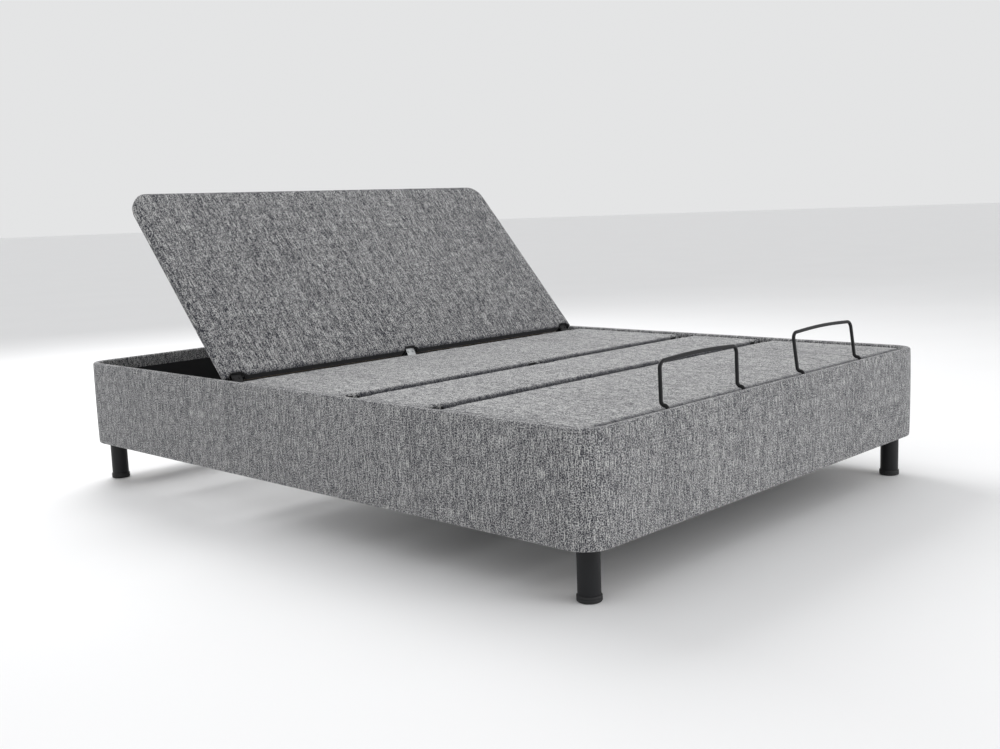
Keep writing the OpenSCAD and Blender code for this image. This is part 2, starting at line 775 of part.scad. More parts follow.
module actuator_tube_shape() {
    difference() {
        translate([0, housing_start + housing_l, 0]) rotate([-90, 0, 0])
            cylinder(d = actuator_tube_d, h = tube_end - housing_start - housing_l);
        translate([0, housing_start + housing_l + 6, 0]) rotate([-90, 0, 0])
            cylinder(d = actuator_tube_bore, h = tube_end - housing_start - housing_l - 24);
        translate([0, tube_end - 30, 0]) rotate([-90, 0, 0]) cylinder(d = rod_d + 2 * run_fit, h = 40);
    }
}

rod_end_l = 17;
slot_w = crank_pin_d + 4;
module actuator_rod_shape(l, bow) {
    difference() {
        union() {
            translate([0, housing_start + housing_l + 10 + l - shut_l, 0]) rotate([-90, 0, 0])
                cylinder(d = rod_d, h = shut_l - housing_start - housing_l - 10 - 8);
            block([-eye_w / 2, eye_w / 2], [l - rod_end_l, l + 15], [-bow - 15, 14]);
        }
        for (z = [0.5, -bow - 0.5]) rod_x(-eye_w, eye_w, [l, z], slot_w);
        block([-eye_w, eye_w], [l - slot_w / 2, l + slot_w / 2], [-bow - 0.5, 0.5]);
    }
}

module head_actuator_at() {
    translate([-actuator_x, head_rear[0], head_rear[1]]) rotate([head_rod_a, 0, 0]) children();
}
module thigh_actuator_at() {
    translate([actuator_x, thigh_rear[0], thigh_rear[1]]) toward_foot()
        rotate([thigh_rod_a, 0, 0]) children();
}

module head_actuator_housing() { color("darkslategray") head_actuator_at() housing_shape(); }
module head_actuator_tube() { color("black") head_actuator_at() actuator_tube_shape(); }
module head_actuator_rod() {
    color("silver") head_actuator_at() actuator_rod_shape(head_rod_l, head_bow);
}
module thigh_actuator_housing() { color("darkslategray") thigh_actuator_at() housing_shape(); }
module thigh_actuator_tube() { color("black") thigh_actuator_at() actuator_tube_shape(); }
module thigh_actuator_rod() {
    color("silver") thigh_actuator_at() actuator_rod_shape(thigh_rod_l, head_bow);
}

// ---- electrics under the deck -------------------------------------------

box_x = [-330, -180];
case_off = cross_w / 2 + 3;
control_l = min(180, head_rear[0] - foot_cross_y - 2 * case_off);
supply_l = min(150, foot_cross_y + end_cross_y - 2 * case_off);
box_y = [foot_cross_y + case_off, foot_cross_y + case_off + control_l];
supply_y = [foot_cross_y - case_off - supply_l, foot_cross_y - case_off];
strap_x = [box_x[0] + 25, box_x[1] - 25];
strap_z = [frame_low - 5, frame_low];
inlet_w = 28;
inlet_h = 22;

module control_box() {
    color("black") {
        block(box_x, box_y, [frame_low - 8, frame_low + 28]);
        block(strap_x, [foot_cross_y + 1, box_y[0] + 1], strap_z);
    }
}

module power_supply() {
    inlet_x = (box_x[0] + box_x[1]) / 2;
    color("black") difference() {
        union() {
            block(box_x, supply_y, [frame_low - 10, frame_low + 34]);
            block(strap_x, [supply_y[1] - 1, foot_cross_y - 1], strap_z);
        }
        block([inlet_x - inlet_w / 2, inlet_x + inlet_w / 2], [supply_y[0] - eps, supply_y[0] + 16],
            [frame_low, frame_low + inlet_h]);
    }
}

// a round bar or lead swept along a list of points; no stretch runs along keel
function unit(v) = v / norm(v);
function way_at(path, i) = unit(path[min(i + 1, len(path) - 1)] - path[max(i - 1, 0)]);
function sweep_ring(path, i, d, sides, keel) = let (way = way_at(path, i), side = unit(cross(way, keel)),
    up = cross(side, way)) [for (k = [0:sides - 1]) path[i]
    + d / 2 * (cos(360 * k / sides) * side + sin(360 * k / sides) * up)];

module sweep(path, d, sides, keel) {
    n = len(path);
    points = [for (i = [0:n - 1]) each sweep_ring(path, i, d, sides, keel)];
    walls = [for (i = [0:n - 2], k = [0:sides - 1]) [i * sides + k, i * sides + (k + 1) % sides,
        (i + 1) * sides + (k + 1) % sides, (i + 1) * sides + k]];
    ends = [[for (k = [sides - 1:-1:0]) k], [for (k = [0:sides - 1]) (n - 1) * sides + k]];
    polyhedron(points, concat(walls, ends), convexity = 6);
}

lead_d = 6;
lead_sides = 8;
lead_z = frame_low - lead_d / 2 - 1;
module lead(path) { sweep(path, lead_d, lead_sides, [0, 0, 1]); }

// points between the given ones, on a smooth curve through them
curve_steps = 4;
function spline(a, b, c, d, t) = 0.5 * (2 * b + (c - a) * t + (2 * a - 5 * b + 4 * c - d) * t * t
    + (3 * b - a - 3 * c + d) * t * t * t);
function smooth(p) = let (n = len(p)) concat([for (i = [0:n - 2], s = [0:curve_steps - 1])
    spline(p[max(i - 1, 0)], p[i], p[i + 1], p[min(i + 2, n - 1)], s / curve_steps)], [p[n - 1]]);

module power_lead() {
    x = box_x[0] + 12;
    color("black") lead([[x, supply_y[1], lead_z], [x, box_y[0], lead_z]]);
}

// each motor's lead leaves the end of the motor, crosses over the head
// actuator and runs under the cross tube to the control box
plug_gap = 1;
motor_end = motor_start - 1 + motor_l + motor_cap_l + plug_gap;
over_tube = 34;
head_plug = [-actuator_x + motor_x, head_rear[0] + motor_end, head_rear[1] - 2];
thigh_plug = [actuator_x - motor_x, thigh_rear[0] - motor_end, thigh_rear[1] - 1];
port_way = [0, min(30, (head_rear[0] - box_y[1]) / 2), 0];
head_port = [box_x[1] - 22, box_y[1], lead_z];
thigh_port = [box_x[1] - 42, box_y[1], lead_z];
head_route = [head_plug, head_plug + [0, 14, 0], head_plug + [-6, 30, 10], head_plug + [-30, 42, over_tube],
    head_plug + [-90, 24, over_tube], [-158, head_rear[0] + 120, lead_z + 4],
    [-190, head_rear[0] + 60, lead_z], [-202, head_rear[0], lead_z],
    head_port + port_way, head_port];
thigh_route = [thigh_plug, thigh_plug + [0, -14, 0], thigh_plug + [-6, -34, 12],
    thigh_plug + [-34, -80, over_tube], thigh_plug + [-100, -130, over_tube],
    thigh_plug + [-170, -190, over_tube],
    [-196, head_rear[0] + 140, lead_z + 4], [-218, head_rear[0] + 60, lead_z],
    [-222, head_rear[0], lead_z],
    thigh_port + port_way, thigh_port];

module motor_leads() {
    color("black") {
        lead(smooth(head_route));
        lead(smooth(thigh_route));
    }
}

// ---- mattress retainer bars ---------------------------------------------

// each bar stands on the deck, steps over the end of the foot section, drops
// beside it and hooks under the board
bar_drop_gap = 2;
bar_rise_gap = 1.3;
bar_hook_l = 60;
bar_low = deck_top + bar_d / 2 + bar_rise_gap;
bar_hook_z = board_low - bar_d / 2 - 0.2;
bar_drop_y = foot_end_y - bar_d / 2 - bar_drop_gap;
bar_foot_r = (foot_end_y + bar_inset - bar_drop_y) / 2;

bar_sides = 12;
bend_steps = 5;

// points of a bend in the y-z plane about [y, z], from angle a0 and through a1 more
function bend_yz(x, y, z, r, a0, a1) = [for (i = [0:bend_steps])
    [x, y + r * cos(a0 + a1 * i / bend_steps), z + r * sin(a0 + a1 * i / bend_steps)]];

// from the hook under the board, up past the end of the section, over it and up the leg
function bar_foot_path(x, lean) = concat(
    [[x, bar_drop_y + bar_foot_r + bar_hook_l, bar_hook_z]],
    bend_yz(x, bar_drop_y + bar_foot_r, bar_hook_z + bar_foot_r, bar_foot_r, -90, -90),
    bend_yz(x, bar_drop_y + bar_foot_r, bar_low - bar_foot_r, bar_foot_r, 180, -90),
    bend_yz(x, bar_drop_y + bar_foot_r, bar_low + bar_foot_r, bar_foot_r, -90, 90 - lean));

// the top corner at the side of +X, in a plane that leans over the deck
function bar_corner_path(half, lean) = let (r = bar_bend_r, top = deck_top + bar_h - bar_d / 2,
    base = [bar_drop_y + bar_foot_r * (1 + cos(lean)), bar_low + bar_foot_r * (1 - sin(lean))],
    rise = (top - base[1]) / cos(lean) - r)
    [for (i = [0:bend_steps]) let (a = 90 * i / bend_steps, up = rise + r * sin(a))
        [half - r + r * cos(a), base[0] + up * sin(lean), base[1] + up * cos(lean)]];

function across(path) = [for (i = [len(path) - 1:-1:0]) [-path[i][0], path[i][1], path[i][2]]];

module retainer_bar(x, lean) {
    half = concat(bar_foot_path(bar_w / 2, lean), bar_corner_path(bar_w / 2, lean));
    color("black") translate([x, 0, 0]) sweep(concat(half, across(half)), bar_d, bar_sides, [1, 1, 0]);
}

module retainer_bar_left() { retainer_bar(-bar_x, bar_lean[0]); }
module retainer_bar_right() { retainer_bar(bar_x, bar_lean[1]); }

side_rails();
end_rails();
rail_corners();
rail_cover();
corner_blocks();
legs();
leg_caps();
frame_side_tubes();
cross_tubes();
rail_brackets();
seat_risers();
seat_bearers();
seat_board();
seat_pad();
seat_hinge_leaves();
seat_hinge_pins();
lift_bearing_plates();
actuator_brackets();
actuator_bracket_pins();
control_box();
power_supply();
power_lead();
motor_leads();
head_board();
head_pad();
head_hinge_leaves();
head_tracks();
head_lift_tube();
head_lift_arms();
head_crank();
head_crank_pin();
head_roller_left();
head_roller_right();
thigh_board();
thigh_pad();
thigh_hinge_leaves();
thigh_tracks();
knee_hinge_leaves();
knee_hinge_pins();
foot_board();
foot_pad();
foot_hinge_leaves();
foot_roller_brackets();
retainer_bar_left();
retainer_bar_right();
thigh_lift_tube();
thigh_lift_arms();
thigh_crank();
thigh_crank_pin();
thigh_roller_left();
thigh_roller_right();
foot_roller_left();
foot_roller_right();
head_actuator_housing();
head_actuator_tube();
head_actuator_rod();
thigh_actuator_housing();
thigh_actuator_tube();
thigh_actuator_rod();
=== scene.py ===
import math

import bmesh
import bpy
from mathutils import Matrix, Vector, noise


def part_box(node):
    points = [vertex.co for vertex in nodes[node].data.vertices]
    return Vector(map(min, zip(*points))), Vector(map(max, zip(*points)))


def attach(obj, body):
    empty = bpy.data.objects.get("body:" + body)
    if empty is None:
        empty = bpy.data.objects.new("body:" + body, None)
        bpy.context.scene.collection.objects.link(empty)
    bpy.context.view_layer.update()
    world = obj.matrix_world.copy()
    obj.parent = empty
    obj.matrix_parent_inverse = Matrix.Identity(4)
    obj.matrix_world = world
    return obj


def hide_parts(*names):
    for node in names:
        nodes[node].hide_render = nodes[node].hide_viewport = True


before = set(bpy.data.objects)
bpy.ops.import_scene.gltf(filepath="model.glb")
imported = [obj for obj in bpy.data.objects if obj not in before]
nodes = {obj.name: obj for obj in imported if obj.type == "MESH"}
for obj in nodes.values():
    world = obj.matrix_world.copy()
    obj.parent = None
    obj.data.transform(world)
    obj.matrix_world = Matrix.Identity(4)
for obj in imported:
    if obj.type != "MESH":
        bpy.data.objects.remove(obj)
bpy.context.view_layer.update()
mm = 0.001
print("frame loaded")

# ---- camera

cameraSet = {
    "place": (-2.4853, -2.4418, 0.8174),
    "yaw": 46.3,
    "pitch": 8.3,
    "roll": -2.04,
    "lens": 42.08,
    "sensor": 36.0,
}


def placeCamera():
    yaw, pitch, roll = (math.radians(cameraSet[k]) for k in ("yaw", "pitch", "roll"))
    ahead = Vector((math.sin(yaw) * math.cos(pitch), math.cos(yaw) * math.cos(pitch), -math.sin(pitch)))
    side = Vector((math.cos(yaw), -math.sin(yaw), 0))
    top = side.cross(ahead)
    right = side * math.cos(roll) + top * math.sin(roll)
    up = top * math.cos(roll) - side * math.sin(roll)
    lens = bpy.data.cameras.new("camera")
    lens.lens = cameraSet["lens"]
    lens.sensor_width = cameraSet["sensor"]
    camera = bpy.data.objects.new("camera", lens)
    bpy.context.scene.collection.objects.link(camera)
    turn = Matrix((right, up, -ahead)).transposed().to_4x4()
    camera.matrix_world = Matrix.Translation(cameraSet["place"]) @ turn
    bpy.context.scene.camera = camera


placeCamera()

# ---- shader helpers


class Wire:
    # a socket that can stand in a sum
    def __init__(self, paint, socket):
        self.paint = paint
        self.socket = socket

    def sum(self, operation, first, second):
        return self.paint.add("ShaderNodeMath", {"operation": operation}, [first, second])

    def __add__(self, other):
        return self.sum("ADD", self, other)

    def __radd__(self, other):
        return self.sum("ADD", other, self)

    def __sub__(self, other):
        return self.sum("SUBTRACT", self, other)

    def __rsub__(self, other):
        return self.sum("SUBTRACT", other, self)

    def __mul__(self, other):
        return self.sum("MULTIPLY", self, other)

    def __rmul__(self, other):
        return self.sum("MULTIPLY", other, self)


class Paint:
    # a material and its nodes
    def __init__(self, name, **shader):
        self.material = bpy.data.materials.new(name)
        self.material.use_nodes = True
        self.tree = self.material.node_tree
        self.shader = self.tree.nodes["Principled BSDF"]
        for socket, value in shader.items():
            self.feed(self.shader, socket.replace("_", " "), value)

    def feed(self, node, socket, value):
        if isinstance(value, Wire):
            self.tree.links.new(value.socket, node.inputs[socket])
        elif isinstance(value, tuple) and node.inputs[socket].type == "RGBA":
            node.inputs[socket].default_value = (*value, 1)
        else:
            node.inputs[socket].default_value = value

    def add(self, kind, settings, sockets, output=0):
        node = self.tree.nodes.new(kind)
        for name, value in settings.items():
            if name == "stops":
                ramp = node.color_ramp
                ramp.elements[0].position, ramp.elements[0].color = value[0][0], (*value[0][1], 1)
                ramp.elements[1].position, ramp.elements[1].color = value[-1][0], (*value[-1][1], 1)
                for place, colour in value[1:-1]:
                    ramp.elements.new(place).color = (*colour, 1)
            else:
                setattr(node, name, value)
        for socket, value in sockets.items() if isinstance(sockets, dict) else enumerate(sockets):
            self.feed(node, socket, value)
        return Wire(self, node.outputs[output])

    def give(self, **sockets):
        for socket, value in sockets.items():
            self.feed(self.shader, socket.replace("_", " "), value)
        return self.material

    def place(self):
        return self.add("ShaderNodeTexCoord", {}, {}, "Object")

    def stretch(self, place, scale):
        return self.add("ShaderNodeMapping", {}, {"Vector": place, "Scale": scale})

    def noise(self, place, scale=1.0, detail=2.0, roughness=0.5):
        return self.add("ShaderNodeTexNoise", {},
                        {"Vector": place, "Scale": scale, "Detail": detail, "Roughness": roughness})

    def span(self, value, low, high, toLow=0.0, toHigh=1.0):
        ends = {"From Min": low, "From Max": high, "To Min": toLow, "To Max": toHigh}
        return self.add("ShaderNodeMapRange", {"clamp": True}, {"Value": value, **ends})

    def mix(self, factor, first, second):
        return self.add("ShaderNodeMix", {"data_type": "RGBA"}, {0: factor, 6: first, 7: second}, 2)

    def bump(self, height, strength, distance):
        return self.add("ShaderNodeBump", {}, {"Strength": strength, "Distance": distance, "Height": height})


# ---- finishes

tweedSet = {
    "dark": (0.016, 0.017, 0.026),
    "middle": (0.165, 0.165, 0.172),
    "light": (0.52, 0.52, 0.515),
    "slub": (0.70, 0.70, 0.68),
    # strength of the painted shade at the pads' rims and joints
    "paintedRimShadeStrength": 0.78,
    "slubShare": 0.6,
    "pitch": 3.4,
    "slubWidth": 2.1,
    "slubLength": 30.0,
}


def tweed(name, paintedLightShift=0.0):
    # charcoal and pale yarns woven small, with pale slubs along the second direction of the cloth
    paint = Paint(name, Roughness=0.95, Sheen_Weight=0.12, Sheen_Roughness=0.5, Specular_IOR_Level=0.2)
    place = paint.add("ShaderNodeAttribute", {"attribute_name": "clothPlace"}, {}, "Vector")
    thread = 1000 / tweedSet["pitch"]
    yarns = {"Vector": place, "Scale": thread * 0.314, "Distortion": 1.6, "Detail": 1.0, "Detail Scale": 2.0}
    warp, weft = (paint.add("ShaderNodeTexWave", {"wave_type": "BANDS", "bands_direction": way}, yarns)
                  for way in "XY")
    threads = warp * 0.5 + weft * 0.5
    grain = paint.noise(paint.stretch(place, (thread * 1.35, thread * 1.0, thread * 1.35)), 1.0, 1.0, 0.6)
    fleck = paint.noise(paint.stretch(place, (thread * 0.55, thread * 0.13, thread * 0.55)), 1.0, 2.0, 0.55)
    slubPlace = paint.stretch(place, (1000 / tweedSet["slubWidth"], 1000 / tweedSet["slubLength"], 90))
    slubs = paint.noise(slubPlace, 1.0, 1.0, 0.4)
    lightSlubs = paint.span(slubs, 0.60, 0.70)
    darkSlubs = paint.span(slubs, 0.42, 0.30)
    bands = paint.noise(paint.stretch(place, (42, 1.8, 42)), 1.0, 2.0, 0.5)
    cloud = paint.noise(place, 2.6, 2.0, 0.5)
    tone = paint.span(grain, 0.43, 0.57) * 0.62 + paint.span(fleck, 0.37, 0.63) * 0.26 + threads * 0.12
    # the shift moves the whole cloth's tone: painted light on the deck copy, painted shade on the head copy
    tone = tone + paintedLightShift + (bands - 0.5) * 0.30 + (cloud - 0.5) * 0.12 - darkSlubs * 0.12
    yarn = paint.add("ShaderNodeValToRGB", {"stops": [(0.08, tweedSet["dark"]), (0.5, tweedSet["middle"]),
                                                      (0.95, tweedSet["light"])]}, [tone], "Color")
    yarn = paint.mix(lightSlubs * tweedSet["slubShare"], yarn, tweedSet["slub"])
    # painted shade: the cloth colour is darkened towards the dark yarn colour by the pad's rim and joint
    # shade attribute
    crease = paint.add("ShaderNodeAttribute", {"attribute_name": "crease"}, {}, "Fac")
    yarn = paint.mix(crease * tweedSet["paintedRimShadeStrength"], yarn, tweedSet["dark"])
    height = threads * 0.4 + grain * 0.9 + lightSlubs * 0.4
    return paint.give(Base_Color=yarn, Normal=paint.bump(height, 0.5, 1.2 * mm))


def satinPaint(name, colour, roughness, peel=0.12):
    # powder coat: fine orange peel, a little dust in the roughness
    paint = Paint(name, Specular_IOR_Level=0.28)
    place = paint.place()
    skin = paint.noise(place, 950, 2.0, 0.5)
    dust = paint.noise(place, 14, 4.0, 0.6)
    faint = tuple(c * 1.3 + 0.002 for c in colour)
    return paint.give(
        Base_Color=paint.mix(paint.span(dust, 0.4, 0.7), colour, faint),
        Roughness=paint.span(dust, 0.3, 0.75, roughness - 0.06, roughness + 0.1),
        Normal=paint.bump(skin, peel, 0.4 * mm),
    )


def plating(name, colour, roughness, spangle):
    # zinc or bright steel: cloudy crystals and fine drawn lines
    paint = Paint(name, Metallic=1.0)
    place = paint.place()
    crystals = paint.add("ShaderNodeTexVoronoi", {"feature": "F1"},
                         {"Vector": place, "Scale": 160.0}, "Color")
    cloud = paint.noise(place, 30, 3.0, 0.55)
    drawn = paint.noise(paint.stretch(place, (40, 1400, 1400)), 1.0, 2.0, 0.5)
    shade = paint.mix(spangle, paint.mix(cloud, colour, tuple(c * 0.72 for c in colour)), crystals)
    grey = paint.add("ShaderNodeHueSaturation", {}, {"Saturation": 0.0, "Value": 1.0, "Color": shade})
    tint = paint.mix(0.7, grey, colour)
    return paint.give(
        Base_Color=tint,
        Roughness=paint.span(cloud, 0.3, 0.7, roughness - 0.08, roughness + 0.12),
        Normal=paint.bump(drawn, 0.08, 0.2 * mm),
    )


def hingeMix(name):
    # the middle hinge is zinc plated and the two end ones are black
    paint = Paint(name, Specular_IOR_Level=0.5)
    place = paint.place()
    across = paint.add("ShaderNodeSeparateXYZ", {}, [place], "X")
    middle = paint.add("ShaderNodeMath", {"operation": "COMPARE"}, [across, -0.048, 0.1])
    cloud = paint.noise(place, 60, 3.0, 0.55)
    zinc = paint.mix(cloud, (0.50, 0.54, 0.55), (0.38, 0.41, 0.42))
    return paint.give(
        Base_Color=paint.mix(middle, (0.013, 0.013, 0.014), zinc),
        Metallic=middle * 0.85,
        Roughness=paint.span(cloud, 0.3, 0.7, 0.36, 0.5),
        Normal=paint.bump(cloud, 0.1, 0.3 * mm),
    )


def plastic(name, colour, roughness, grainSize=1500, grainDepth=0.16):
    # moulded plastic: etched grain and faint flow clouds
    paint = Paint(name, Specular_IOR_Level=0.45)
    place = paint.place()
    etched = paint.add("ShaderNodeTexVoronoi", {"feature": "SMOOTH_F1"},
                       {"Vector": place, "Scale": grainSize})
    flow = paint.noise(place, 22, 3.0, 0.6)
    return paint.give(
        Base_Color=paint.mix(paint.span(flow, 0.35, 0.7), colour, tuple(c * 1.25 + 0.004 for c in colour)),
        Roughness=paint.span(flow, 0.3, 0.7, roughness - 0.05, roughness + 0.08),
        Normal=paint.bump(etched, grainDepth, 0.3 * mm),
    )


def plyBoard(name):
    # birch ply: long grain, darker growth bands and fine pores
    paint = Paint(name, Roughness=0.62, Specular_IOR_Level=0.3)
    place = paint.place()
    warp = paint.noise(paint.stretch(place, (5, 1.2, 5)), 1.0, 3.0, 0.55)
    bands = paint.add("ShaderNodeTexWave", {"wave_type": "BANDS", "bands_direction": "X"},
                      {"Vector": place, "Scale": 9.0, "Distortion": 7.0, "Detail": 3.0, "Detail Scale": 1.4})
    pores = paint.noise(paint.stretch(place, (900, 45, 900)), 1.0, 2.0, 0.6)
    wood = paint.mix(bands * 0.6 + warp * 0.4, (0.50, 0.34, 0.19), (0.66, 0.49, 0.31))
    wood = paint.mix(paint.span(pores, 0.55, 0.8) * 0.35, wood, (0.30, 0.19, 0.10))
    return paint.give(Base_Color=wood, Normal=paint.bump(pores, 0.2, 0.3 * mm))


def dustCloth(name):
    # black spun-bonded cloth: short fibres and a dot-bonded grid
    paint = Paint(name, Roughness=0.95, Sheen_Weight=0.1, Specular_IOR_Level=0.2)
    place = paint.place()
    dots = paint.add("ShaderNodeTexVoronoi", {"feature": "F1"},
                     {"Vector": place, "Scale": 420.0, "Randomness": 0.12})
    fibres = paint.noise(paint.stretch(place, (900, 300, 900)), 1.0, 3.0, 0.7)
    pressed = paint.span(dots, 0.12, 0.3)
    return paint.give(
        Base_Color=paint.mix(pressed * 0.5 + fibres * 0.5, (0.006, 0.006, 0.007), (0.028, 0.028, 0.03)),
        Normal=paint.bump(pressed + fibres * 0.6, 0.35, 0.4 * mm),
    )


# one cloth in three copies: the deck copy is painted lighter and the head copy painted darker, as painted
# light and shade
boxTweed = tweed("boxTweed")
deckTweedPaintedLight = tweed("deckTweedPaintedLight", 0.06)
headTweedPaintedShade = tweed("headTweedPaintedShade", -0.06)
legPaint = satinPaint("legPaint", (0.0075, 0.0078, 0.009), 0.46)
framePaint = satinPaint("framePaint", (0.016, 0.016, 0.017), 0.5, 0.2)
hingePaint = satinPaint("hingePaint", (0.013, 0.013, 0.014), 0.38)
barPaint = satinPaint("barPaint", (0.0035, 0.0037, 0.005), 0.38, 0.08)
headHinge = hingeMix("headHinge")
zincPlate = plating("zincPlate", (0.55, 0.57, 0.58), 0.42, 0.35)
brightSteel = plating("brightSteel", (0.68, 0.68, 0.67), 0.24, 0.08)
capRubber = plastic("capRubber", (0.011, 0.011, 0.012), 0.62, 1100)
nylonWhite = plastic("nylonWhite", (0.70, 0.69, 0.64), 0.45, 1800, 0.08)
boxPlastic = plastic("boxPlastic", (0.02, 0.02, 0.022), 0.5)
leadSheath = plastic("leadSheath", (0.012, 0.012, 0.013), 0.55, 2200, 0.06)
trimBlack = plastic("trimBlack", (0.008, 0.008, 0.009), 0.45, 1600, 0.08)
boardWood = plyBoard("boardWood")
dustBlack = dustCloth("dustBlack")
print("finishes made")

# ---- mesh helpers


def finishPiece(name, bm, material, body, sharp=35, smooth=True):
    mesh = bpy.data.meshes.new(name)
    bm.to_mesh(mesh)
    bm.free()
    return meshPiece(name, mesh, material, body, sharp, smooth)


def meshPiece(name, mesh, material, body, sharp=35, smooth=True):
    mesh.shade_smooth() if smooth else mesh.shade_flat()
    if smooth and sharp:
        mesh.set_sharp_from_angle(angle=math.radians(sharp))
    mesh.materials.clear()
    mesh.materials.append(material)
    piece = bpy.data.objects.new(name, mesh)
    bpy.context.scene.collection.objects.link(piece)
    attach(piece, body)
    return piece


def wrapGrid(columns, rows, place, cloth=None):
    # a grid of columns by rows, each point put where place(column, row) says
    bm = bmesh.new()
    bmesh.ops.create_grid(bm, x_segments=columns, y_segments=rows, size=1)
    spots = {v: (round((v.co.x + 1) / 2 * columns), round((v.co.y + 1) / 2 * rows)) for v in bm.verts}
    if cloth:
        layer = bm.loops.layers.uv.new("clothPlace")
        for face in bm.faces:
            for loop in face.loops:
                loop[layer].uv = cloth(*spots[loop.vert])
    for vert, spot in spots.items():
        vert.co = place(*spot)
    bmesh.ops.remove_doubles(bm, verts=bm.verts, dist=0.00002)
    bmesh.ops.recalc_face_normals(bm, faces=bm.faces)
    return bm


def addTube(bm, path, radius, sides=12, ends=True):
    # a round bar along points, its rings square to the path
    rings = []
    hold = Vector((1, 0, 0)) if abs((path[1] - path[0]).normalized().x) < 0.9 else Vector((0, 1, 0))
    for i, point in enumerate(path):
        way = (path[min(i + 1, len(path) - 1)] - path[max(i - 1, 0)]).normalized()
        side = (hold - way * hold.dot(way)).normalized()
        hold = side
        turn = Matrix((side, way.cross(side), way)).transposed().to_4x4()
        ring = bmesh.ops.create_circle(bm, segments=sides, radius=radius, cap_ends=False,
                                       matrix=Matrix.Translation(point) @ turn)["verts"]
        rings.append(ring)
    for first, second in zip(rings, rings[1:]):
        edges = [e for ring in (first, second)
                 for e in {e for v in ring for e in v.link_edges if e.other_vert(v) in ring}]
        bmesh.ops.bridge_loops(bm, edges=list(dict.fromkeys(edges)))
    if ends:
        for ring in (rings[0], rings[-1]):
            edges = list({e for v in ring for e in v.link_edges if e.other_vert(v) in ring})
            bmesh.ops.holes_fill(bm, edges=edges, sides=sides)


def addScrew(bm, centre, axis, radius=4.2 * mm):
    # a pan head with a hexagon socket
    turn = Vector((0, 0, 1)).rotation_difference(Vector(axis)).to_matrix().to_4x4()
    base = Matrix.Translation(centre) @ turn
    bmesh.ops.create_cone(bm, cap_ends=True, segments=14, radius1=radius, radius2=radius * 0.82,
                          depth=radius * 0.5, matrix=base @ Matrix.Translation((0, 0, radius * 0.25)))
    rim = bmesh.ops.create_circle(bm, segments=6, radius=radius * 0.45, cap_ends=True,
                                  matrix=base @ Matrix.Translation((0, 0, radius * 0.502)))
    well = list({f for v in rim["verts"] for f in v.link_faces})
    pushed = bmesh.ops.extrude_face_region(bm, geom=well)
    down = turn.to_3x3() @ Vector((0, 0, -radius * 0.3))
    bmesh.ops.translate(bm, verts=[g for g in pushed["geom"] if isinstance(g, bmesh.types.BMVert)], vec=down)


# ---- upholstered box

boxSet = {
    "corner": 68 * mm,
    "skin": 18 * mm,
    "edge": 5.5 * mm,
    "wrap": 2 * mm,
    "flap": 36 * mm,
    "hem": 30 * mm,
    "step": 24 * mm,
    "plump": 1.4 * mm,
    "ripple": 0.7 * mm,
}

boxLow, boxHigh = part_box("rail_cover")


def boxStations():
    # points round the outside of the box: place, outward direction and distance run
    r = boxSet["corner"]
    reachX, reachY = boxHigh.x - r, boxHigh.y - r
    corners = [((reachX, reachY), 0), ((-reachX, reachY), 90),
               ((-reachX, -reachY), 180), ((reachX, -reachY), 270)]
    stations, run = [], 0.0
    last = None
    turnSteps = 14

    def note(x, y, out):
        nonlocal run, last
        here = Vector((x, y))
        if last is not None:
            run += (here - last).length
        last = here
        stations.append((here, out, run))

    start = Vector((0, boxHigh.y))
    order = [corners[1], corners[2], corners[3], corners[0]]
    note(start.x, start.y, Vector((0, 1)))
    for (cx, cy), angle in order:
        first = math.radians(angle)
        goal = Vector((cx + r * math.cos(first), cy + r * math.sin(first)))
        count = max(1, round((goal - last).length / boxSet["step"]))
        begin = last.copy()
        out = Vector((math.cos(first), math.sin(first)))
        for k in range(1, count + 1):
            spot = begin.lerp(goal, k / count)
            note(spot.x, spot.y, out)
        for k in range(1, turnSteps + 1):
            a = first + math.pi / 2 * k / turnSteps
            note(cx + r * math.cos(a), cy + r * math.sin(a), Vector((math.cos(a), math.sin(a))))
    count = round((start - last).length / boxSet["step"])
    begin = last.copy()
    for k in range(1, count + 1):
        spot = begin.lerp(start, k / count)
        note(spot.x, spot.y, Vector((0, 1)))
    return stations


def coverProfile():
    # (depth behind the outer face, height, how far it may puff) round the cloth, outside first
    low, high = boxLow.z, boxHigh.z
    e, skin, wrap = boxSet["edge"], boxSet["skin"], boxSet["wrap"]
    steps = 4
    shape = []

    inner = skin - e
    shape.append((skin, low + boxSet["hem"], 0))
    shape.append((skin, low + 12 * mm, 0))
    for k in range(steps + 1):
        a = math.radians(90 * k / steps)
        shape.append((inner + e * math.cos(a), low + e - e * math.sin(a), 0))
    for k in range(steps + 1):
        a = math.radians(90 * k / steps)
        shape.append((e - e * math.sin(a), low + e - e * math.cos(a), 0))
    walls = 14
    for k in range(1, walls):
        t = k / walls
        shape.append((0, low + e + (high - low - 2 * e) * t, math.sin(math.pi * t) ** 0.6))
    for k in range(steps + 1):
        a = math.radians(90 * k / steps)
        shape.append((e - e * math.cos(a), high - e + e * math.sin(a), 0))
    for k in range(steps + 1):
        a = math.radians(90 * k / steps)
        shape.append((inner + e * math.sin(a), high - e + e * math.cos(a), 0))
    shape.append((skin, high - boxSet["flap"] * 0.6, 0))
    shape.append((skin, high - boxSet["flap"] + 1 * mm, 0))
    shape.append((skin - wrap / 2, high - boxSet["flap"], 0))
    shape.append((skin - wrap, high - boxSet["flap"] + 1 * mm, 0))
    shape.append((skin - wrap, high - wrap, 0))
    shape.append((wrap, high - wrap, 0))
    shape.append((wrap, low + wrap, 0))
    shape.append((skin - wrap, low + wrap, 0))
    shape.append((skin - wrap, low + boxSet["hem"], 0))
    shape.append(shape[0])
    return shape


